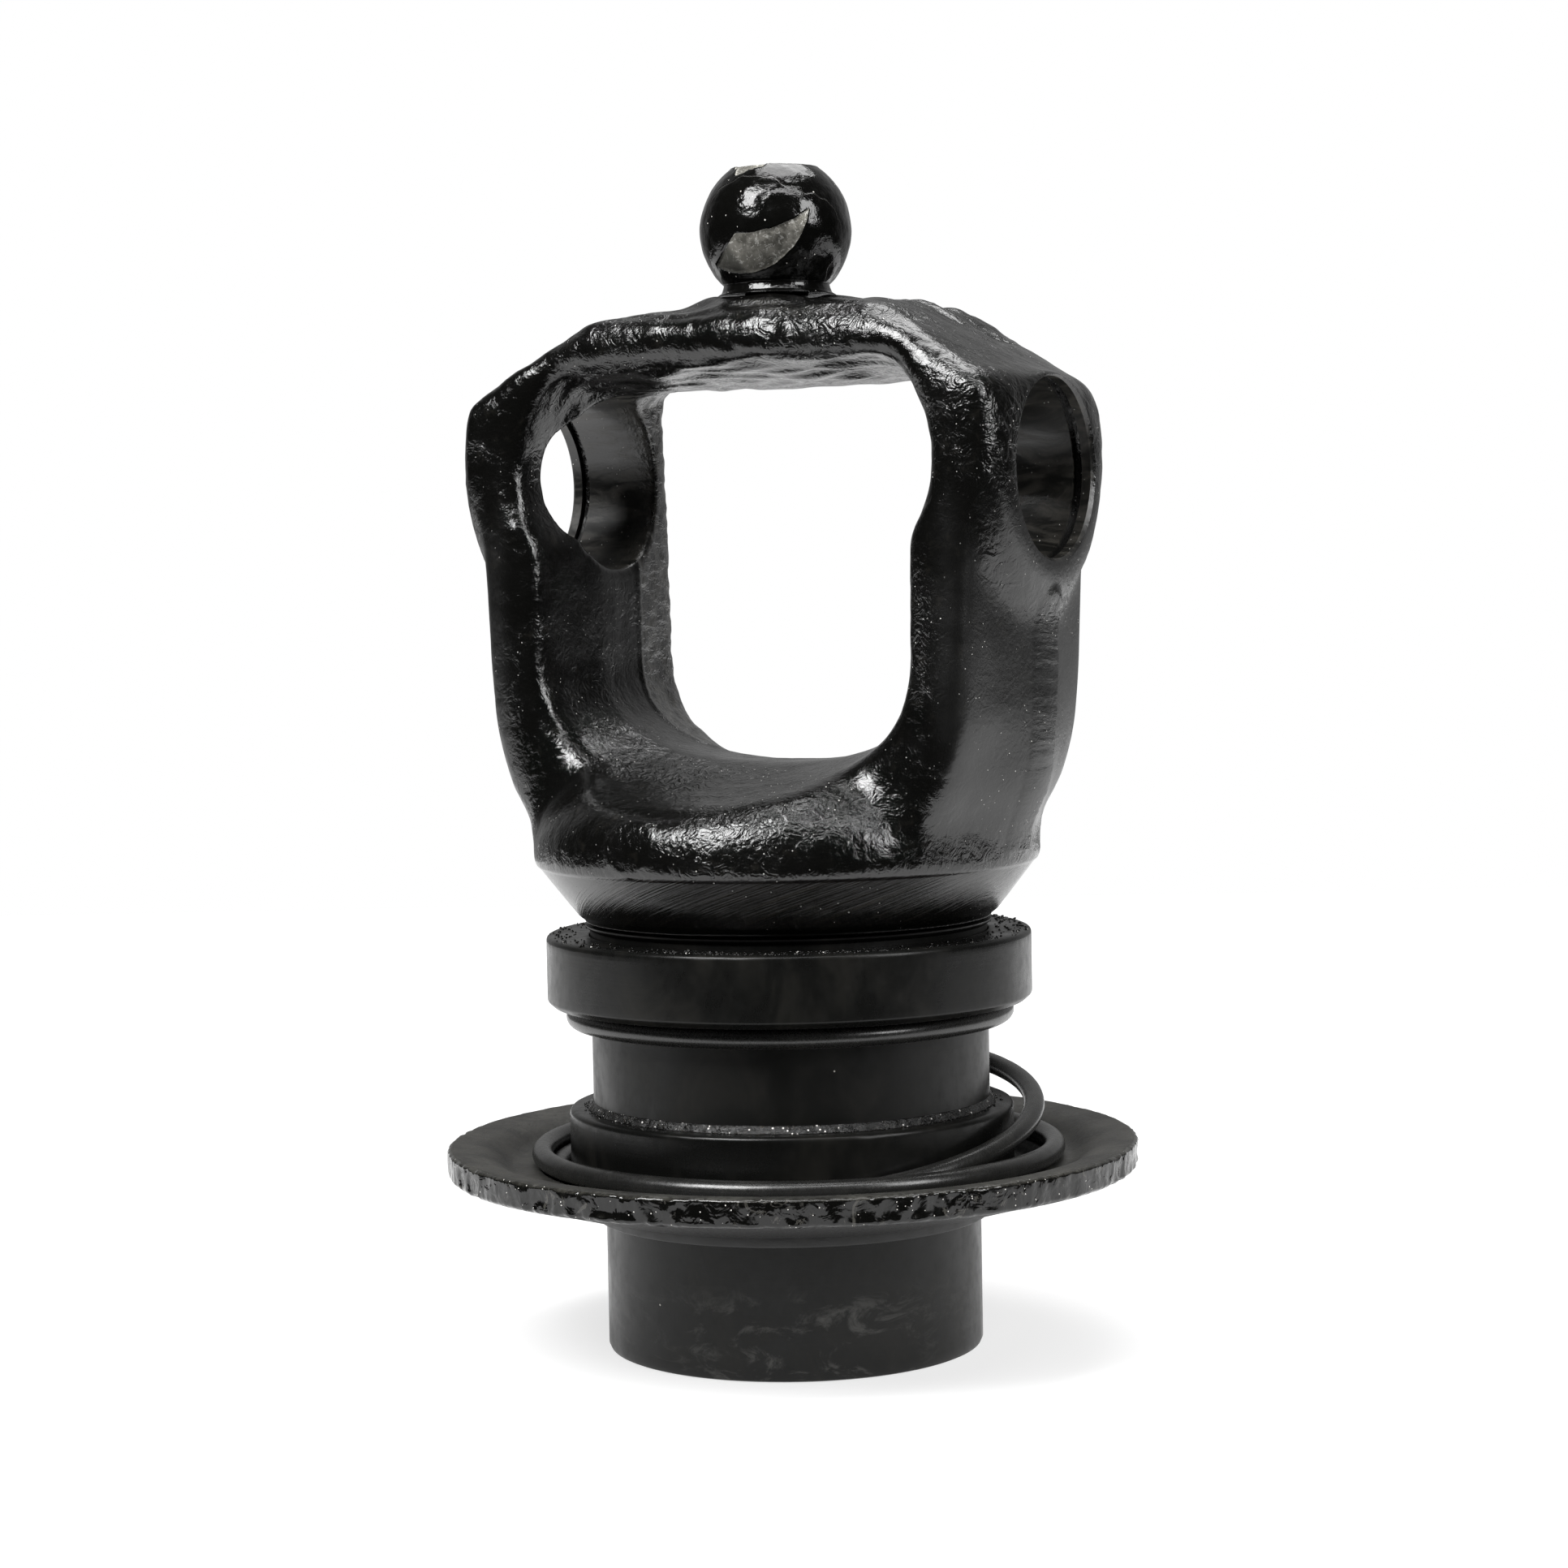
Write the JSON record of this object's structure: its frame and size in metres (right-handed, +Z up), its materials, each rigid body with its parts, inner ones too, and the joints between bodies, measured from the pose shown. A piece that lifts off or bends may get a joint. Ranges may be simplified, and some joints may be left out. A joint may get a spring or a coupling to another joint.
{
  "type": "ball-stud universal joint yoke",
  "caption": "Forged coupling yoke with cross bores, a ball on its bridge and a turned swivel stub that carries collars, rubber seal rings and a dished shield",
  "frame": {"origin": "middle of the stub's flat lower end", "axes": "+Z up the shaft axis towards the ball, X along the two cross bores"},
  "size_m": [0.1914, 0.1914, 0.3242],
  "materials": {
    "forging_paint": "gloss black paint over a rough forged skin",
    "ball_paint": "gloss black paint, chipped to grey steel",
    "turned_paint": "satin black paint on a turned surface",
    "collar_paint": "satin black paint on a turned surface",
    "shield_paint": "matt black paint, dusty on top, glossy on the cut rim",
    "spring_steel": "blackened spring steel",
    "seal_rubber": "matt black rubber"
  },
  "bodies": {
    "yoke": {"yoke_forging": "forging_paint", "centring_ball_pin": "ball_paint", "stub_shaft": "turned_paint", "upper_collar": "collar_paint", "upper_collar_o_ring": "seal_rubber", "upper_seal_ring": "seal_rubber", "shield_retaining_ring": "spring_steel", "lower_collar_o_ring": "seal_rubber"},
    "lower_collar": {"lower_collar": "collar_paint"},
    "loose_rings": {"loose_seal_ring": "seal_rubber", "trough_seal_ring": "seal_rubber"},
    "shield": {"dished_shield": "shield_paint"}
  },
  "joints": [
    {"name": "shield_turn", "type": "hinge", "parent": "yoke", "child": "shield", "pos_m": [0, 0, 0.0474], "axis": [0, 0, 1], "continuous": true},
    {"name": "lower_collar_turn", "type": "hinge", "parent": "yoke", "child": "lower_collar", "pos_m": [0, 0, 0.0477], "axis": [0, 0, 1], "continuous": true},
    {"name": "loose_rings_lift", "type": "slide", "parent": "yoke", "child": "loose_rings", "axis": [0, 0, 1], "range_m": [0, 0.011]}
  ]
}
